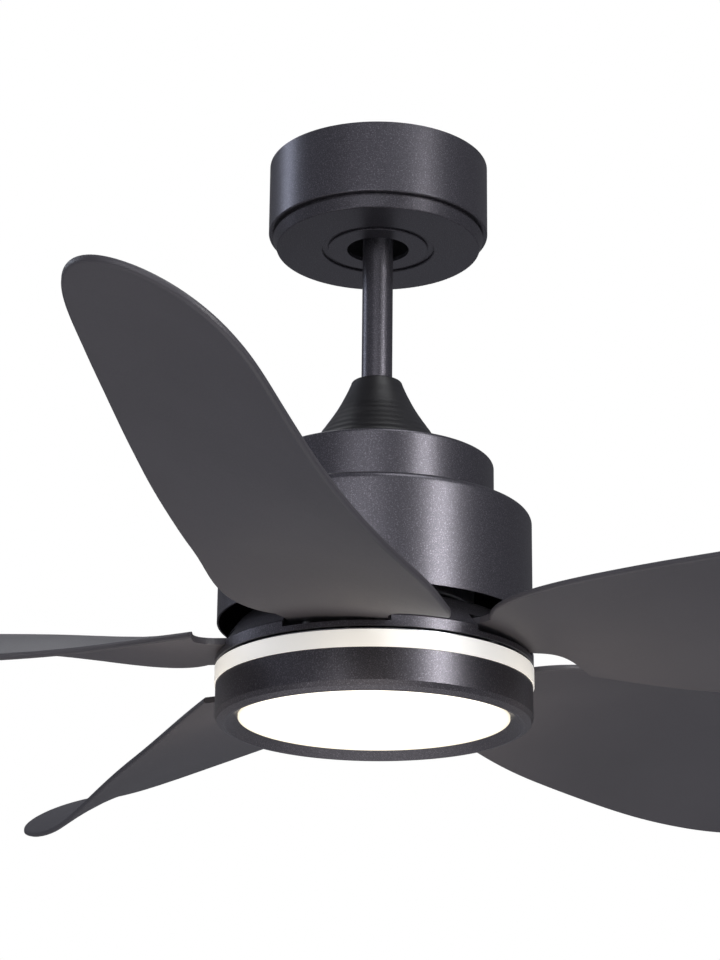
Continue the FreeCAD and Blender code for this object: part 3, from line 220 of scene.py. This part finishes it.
def plain_metal(name, colour, roughness, grain=(1.0, 1.0, 1.0)):
    """Bare metal with a fine grain, which can be stretched into lines."""
    material, tree, shader = new_material(name, colour, roughness, metallic=1.0)
    texture = noise(tree, scale=700.0, detail=3.0, stretch=grain)
    colours = ramp(tree, texture, ((0.3, scaled(colour, 0.86)), (0.7, scaled(colour, 1.08))))
    tree.links.new(colours, shader.inputs["Base Color"])
    worn = to_range(tree, texture, low=roughness - 0.06, high=roughness + 0.08)
    tree.links.new(worn, shader.inputs["Roughness"])
    bump(tree, shader, texture, strength=0.08, distance=0.0001)
    return material


def plain_plastic(name, colour, roughness):
    """Moulded plastic or rubber with a fine matte texture."""
    material, tree, shader = new_material(name, colour, roughness, specular=0.4)
    texture = noise(tree, scale=1100.0, detail=2.0)
    colours = ramp(tree, texture, ((0.3, scaled(colour, 0.85)), (0.7, scaled(colour, 1.15))))
    tree.links.new(colours, shader.inputs["Base Color"])
    bump(tree, shader, texture, strength=0.12, distance=0.0001)
    return material


def opal(name, base, strength):
    """Milky acrylic lit from behind; the caller links the colour of its glow."""
    material, tree, shader = new_material(name, base, roughness=0.34, specular=0.4)
    shader.inputs["Emission Strength"].default_value = strength
    grain = noise(tree, scale=500.0, detail=2.0)
    tree.links.new(to_range(tree, grain, low=0.28, high=0.40), shader.inputs["Roughness"])
    bump(tree, shader, grain, strength=0.05, distance=0.0001)
    return material, tree, shader


TRIM_RIM = 0.014
FACE_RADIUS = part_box("trim_ring")[1].x - TRIM_RIM
# Width of the painted ring at the diffuser's rim, where the glow turns to painted light of the
# trim's lit lip and then painted shade.
FACE_FADE = 0.009
FACE_MIDDLE = (1.0, 0.93, 0.80)
# Painted ring colours: a dull cream that stands in for the trim's lip lit by the diffuser, then a
# darker painted shade at the rim.
FACE_PAINTED_LIP_LIGHT = (0.62, 0.56, 0.45)
FACE_PAINTED_RIM_SHADE = (0.22, 0.195, 0.15)


def opal_face():
    """The diffuser: an even warm white glow, with a painted ring over the last of its radius: dull
    cream painted light for the trim's lit lip, darkening to painted shade at the rim.
    """
    material, tree, shader = opal("opal_face", (0.16, 0.155, 0.14), strength=1.9)
    place = tree.nodes.new("ShaderNodeTexCoord")
    flat = tree.nodes.new("ShaderNodeVectorMath")
    flat.operation = "MULTIPLY"
    flat.inputs[1].default_value = (1.0, 1.0, 0.0)
    reach = tree.nodes.new("ShaderNodeVectorMath")
    reach.operation = "LENGTH"
    tree.links.new(place.outputs["Object"], flat.inputs[0])
    tree.links.new(flat.outputs["Vector"], reach.inputs[0])
    # Painted ring: over the last of the radius the glow turns to the painted lit-lip cream, then
    # painted shade.
    painted_rim_share = from_range(tree, reach.outputs["Value"], FACE_RADIUS - FACE_FADE, FACE_RADIUS)
    glow = ramp(tree, painted_rim_share, ((0.0, FACE_MIDDLE), (0.5, FACE_PAINTED_LIP_LIGHT), (1.0, FACE_PAINTED_RIM_SHADE)))
    tree.links.new(glow, shader.inputs["Emission Color"])
    return material


def opal_band():
    """The light band: soft white, a little dimmer in soft clouds."""
    material, tree, shader = opal("opal_band", (0.70, 0.69, 0.66), strength=0.38)
    cloud = noise(tree, scale=16.0, detail=2.0)
    glow = ramp(tree, cloud, ((0.25, (0.96, 0.95, 0.91)), (0.75, (1.0, 0.99, 0.96))))
    tree.links.new(glow, shader.inputs["Emission Color"])
    return material


LAMINATED = (0.1, 0.1, 6.0)
WOUND = (0.3, 0.3, 5.0)
MAKERS = {
    "graphite_paint": graphite_paint,
    "blade_plastic": blade_plastic,
    "bell_plastic": bell_plastic,
    "opal_acrylic": opal_face,
    "zinc_steel": lambda: plain_metal("zinc_steel", (0.52, 0.53, 0.55), 0.34),
    "cast_aluminium": lambda: plain_metal("cast_aluminium", (0.58, 0.58, 0.59), 0.46),
    "bearing_steel": lambda: plain_metal("bearing_steel", (0.70, 0.71, 0.73), 0.16),
    "electrical_steel": lambda: plain_metal("electrical_steel", (0.28, 0.29, 0.31), 0.42,
                                            LAMINATED),
    "copper_wire": lambda: plain_metal("copper_wire", (0.62, 0.26, 0.12), 0.34, WOUND),
    "magnet": lambda: plain_metal("magnet", (0.15, 0.15, 0.16), 0.50),
    "black_plastic": lambda: plain_plastic("black_plastic", (0.020, 0.020, 0.022), 0.48),
    "seat_rubber": lambda: plain_plastic("seat_rubber", (0.014, 0.014, 0.014), 0.70),
    "wire_insulation": lambda: plain_plastic("wire_insulation", (0.08, 0.08, 0.09), 0.55),
    "board_white": lambda: plain_plastic("board_white", (0.80, 0.80, 0.78), 0.50),
    "lamp_phosphor": lambda: plain_plastic("lamp_phosphor", (0.85, 0.70, 0.20), 0.35),
}


def dress_nodes():
    """Give every CAD node the material of its record slot; the band glows less than the face."""
    made = {}
    for name, piece in frame["nodes"].items():
        slot = SLOT_OF[name]
        if slot not in made:
            made[slot] = MAKERS[slot]()
        piece.data.materials.clear()
        piece.data.materials.append(made[slot])
    band = frame["nodes"]["glow_band"]
    band.data.materials[0] = opal_band()


# ---------------------------------------------------------------- coupling cover
# Outline of the moulded cover: share of its height from the top, share of its foot radius.
COVER_STOPS = ((0.03, 0.361), (0.17, 0.427), (0.413, 0.566), (0.711, 0.782), (1.0, 1.0))
# Half the thickness of the rounded lip, and the number of steps over it.
COVER_LIP = 0.0014
LIP_STEPS = 6
COVER_WALL = 0.0018
# The ridges start and grow to full depth, and fade at the foot, over these shares of height.
RIDGE_COUNT = 12
RIDGE_DEPTH = 0.00016
RIDGE_START = 0.35
RIDGE_GROWTH = 0.35
RIDGE_FADE = 0.04
TURN_STEPS = 128
DROP_STEPS = 110


def clamped(value):
    return max(0.0, min(1.0, value))


def cover_share(share):
    """Radius share at a height share, by a smooth curve through the stops."""
    places = [stop[0] for stop in COVER_STOPS]
    radii = [stop[1] for stop in COVER_STOPS]
    slopes = [(radii[1] - radii[0]) / (places[1] - places[0])]
    for step in range(1, len(COVER_STOPS) - 1):
        rise = radii[step + 1] - radii[step - 1]
        slopes.append(rise / (places[step + 1] - places[step - 1]))
    slopes.append((radii[-1] - radii[-2]) / (places[-1] - places[-2]))
    step = 0
    while step < len(COVER_STOPS) - 2 and share > places[step + 1]:
        step += 1
    width = places[step + 1] - places[step]
    along = (share - places[step]) / width
    square = along * along
    cube = square * along
    return ((2 * cube - 3 * square + 1) * radii[step]
            + (cube - 2 * square + along) * width * slopes[step]
            + (3 * square - 2 * cube) * radii[step + 1]
            + (cube - square) * width * slopes[step + 1])


def ridge_height(share, turn):
    """Uneven moulded ridges, deeper lower down and a little wavy round the cover."""
    growth = clamped((share - RIDGE_START) / RIDGE_GROWTH)
    fade = clamped((1.0 - share) / RIDGE_FADE)
    sway = 0.55 * math.sin(turn + 0.6) + 0.35 * math.sin(2.0 * turn + 1.7)
    beat = 0.65 + 0.35 * math.sin(9.0 * share + 1.3 * math.sin(turn))
    return RIDGE_DEPTH * growth * fade * beat * math.sin(math.tau * RIDGE_COUNT * share + sway)


def add_ring(shape, radius_at, height):
    """A ring of points about Z, at a radius that may change with the turn."""
    ring = []
    for step in range(TURN_STEPS):
        turn = math.tau * step / TURN_STEPS
        radius = radius_at(turn)
        ring.append(shape.verts.new((radius * math.cos(turn), radius * math.sin(turn), height)))
    return ring


def cover_rings(shape, low, high):
    """Rings down the ridged outer skin, up the smooth inner one and over the top lip."""
    first = COVER_STOPS[0][0]
    shares = [first + (1.0 - first) * step / DROP_STEPS for step in range(DROP_STEPS + 1)]
    rings = []
    for share in shares:
        outer = high.x * cover_share(share)
        height = high.z - share * (high.z - low.z)
        rings.append(add_ring(shape, lambda turn: outer + ridge_height(share, turn), height))
    for share in reversed(shares):
        inner = high.x * cover_share(share) - COVER_WALL
        height = high.z - share * (high.z - low.z)
        rings.append(add_ring(shape, lambda turn: inner, height))
    lip_middle = high.x * COVER_STOPS[0][1] - COVER_LIP
    lip_low = rings[0][0].co.z
    for step in range(1, LIP_STEPS):
        bend = math.pi * (1.0 - step / LIP_STEPS)
        radius = lip_middle + COVER_LIP * math.cos(bend)
        height = lip_low + (high.z - lip_low) * math.sin(bend)
        rings.append(add_ring(shape, lambda turn: radius, height))
    return rings


def add_ridged_cover():
    """The coupling cover with its moulded ridges, in place of the plain CAD bell."""
    low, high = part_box("coupling_cover")
    shape = bmesh.new()
    rings = cover_rings(shape, low, high)
    for step, ring in enumerate(rings):
        following = rings[(step + 1) % len(rings)]
        for part in range(TURN_STEPS):
            after = (part + 1) % TURN_STEPS
            shape.faces.new((ring[part], ring[after], following[after], following[part]))
    bmesh.ops.recalc_face_normals(shape, faces=shape.faces)
    mesh = bpy.data.meshes.new("ridged_cover")
    shape.to_mesh(mesh)
    shape.free()
    for face in mesh.polygons:
        face.use_smooth = True
    piece = bpy.data.objects.new("ridged_cover", mesh)
    bpy.context.scene.collection.objects.link(piece)
    mesh.materials.append(bell_plastic())
    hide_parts("coupling_cover")
    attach(piece, "hanging_unit")


# ---------------------------------------------------------------- floor and world
FLOOR_SIZE = 110.0
FLOOR_DROP = 2.0
FLOOR_GLOW = 0.92
WHITE = (1.0, 1.0, 1.0)
WORLD_FRONT = (0.31, 0.31, 0.35)
WORLD_SIDE = (0.25, 0.255, 0.29)
WORLD_BACK = (0.11, 0.11, 0.12)


def add_floor():
    """Pale floor well below the fan; its glow shows only to the camera and lights nothing."""
    under = (0.0, 0.0, cad_low.z - FLOOR_DROP)
    bpy.ops.mesh.primitive_plane_add(size=FLOOR_SIZE, location=under)
    floor = bpy.context.object
    floor.name = "floor"
    material, tree, shader = new_material("floor_paint", (0.90, 0.90, 0.89), roughness=0.7)
    cloud = noise(tree, scale=2.0)
    shade = ramp(tree, cloud, ((0.3, (0.88, 0.88, 0.87)), (0.7, (0.92, 0.92, 0.91))))
    tree.links.new(shade, shader.inputs["Base Color"])
    pale = tree.nodes.new("ShaderNodeEmission")
    pale.inputs["Strength"].default_value = FLOOR_GLOW
    tree.links.new(shade, pale.inputs["Color"])
    camera_only(tree, pale.outputs["Emission"], shader.outputs["BSDF"], "Material Output")
    floor.data.materials.append(material)


def add_world():
    """White to the camera; to everything else grey in front and darker behind."""
    world = bpy.data.worlds.new("studio")
    world.use_nodes = True
    tree = world.node_tree
    seen = tree.nodes["Background"]
    seen.inputs["Color"].default_value = (*WHITE, 1.0)
    seen.inputs["Strength"].default_value = 1.0
    lit = tree.nodes.new("ShaderNodeBackground")
    place = tree.nodes.new("ShaderNodeTexCoord")
    parts = tree.nodes.new("ShaderNodeSeparateXYZ")
    tree.links.new(place.outputs["Generated"], parts.inputs["Vector"])
    depth = from_range(tree, parts.outputs["Y"], -1.0, 1.0)
    shade = ramp(tree, depth, ((0.0, WORLD_FRONT), (0.5, WORLD_SIDE), (1.0, WORLD_BACK)))
    tree.links.new(shade, lit.inputs["Color"])
    camera_only(tree, seen.outputs["Background"], lit.outputs["Background"], "World Output")
    bpy.context.scene.world = world


# ---------------------------------------------------------------- lights
# Name, azimuth in degrees, distance, height, width, upright size, watts, colour.
SOFT_BOXES = (
    ("key_box", 48.0, 2.4, 0.20, 0.46, 0.8, 25.0, (1.0, 0.99, 0.99)),
    ("cool_box", -106.0, 2.2, 0.85, 0.55, 1.1, 8.5, (0.78, 0.85, 1.0)),
    ("back_box", -165.0, 1.6, 2.1, 1.0, 0.8, 9.0, (0.95, 0.97, 1.0)),
    ("front_box", -10.0, 2.6, 0.06, 1.50, 0.5, 15.0, (0.97, 0.97, 1.0)),
    ("top_box", 35.0, 1.4, 1.9, 1.2, 1.2, 20.0, (0.97, 0.98, 1.0)),
    ("low_box", -10.0, 0.5, -1.7, 2.6, 2.6, 13.0, (1.0, 0.97, 0.95)),
)
SPILL_COUNT = 5
SPILL_RADIUS = 0.15
SPILL_DROP = 0.03
SPILL_SIZE = 0.03
SPILL_WATTS = 0.16
SPILL_COLOUR = (1.0, 0.86, 0.66)


def place_round(azimuth, distance, height):
    """A place round the fan; azimuth 0 is on the camera's side, positive to its right."""
    turn = math.radians(azimuth)
    return Vector((distance * math.sin(turn), -distance * math.cos(turn), height))


def add_soft_box(name, azimuth, distance, height, width, tall, watts, colour):
    """Soft box aimed at the middle of the fan, and hidden from the camera."""
    data = bpy.data.lights.new(name, "AREA")
    data.shape = "RECTANGLE"
    data.size = width
    data.size_y = tall
    data.energy = watts
    data.color = colour
    lamp = bpy.data.objects.new(name, data)
    lamp.location = place_round(azimuth, distance, height)
    aim = Vector((0.0, 0.0, CENTRE.z)) - lamp.location
    lamp.rotation_euler = aim.to_track_quat("-Z", "Y").to_euler()
    lamp.visible_camera = False
    bpy.context.scene.collection.objects.link(lamp)


def add_spill(name, azimuth, height):
    data = bpy.data.lights.new(name, "POINT")
    data.energy = SPILL_WATTS
    data.color = SPILL_COLOUR
    data.shadow_soft_size = SPILL_SIZE
    lamp = bpy.data.objects.new(name, data)
    lamp.location = place_round(azimuth, SPILL_RADIUS, height)
    lamp.visible_camera = False
    lamp.visible_glossy = False
    bpy.context.scene.collection.objects.link(lamp)


def add_lights():
    for row in SOFT_BOXES:
        add_soft_box(*row)
    spill_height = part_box("diffuser")[0].z - SPILL_DROP
    for number in range(SPILL_COUNT):
        add_spill("spill_%d" % number, 360.0 * number / SPILL_COUNT, spill_height)


# ---------------------------------------------------------------- the scene
add_camera()
dress_nodes()
add_ridged_cover()
add_floor()
add_world()
add_lights()
bpy.context.scene.view_settings.view_transform = "Standard"
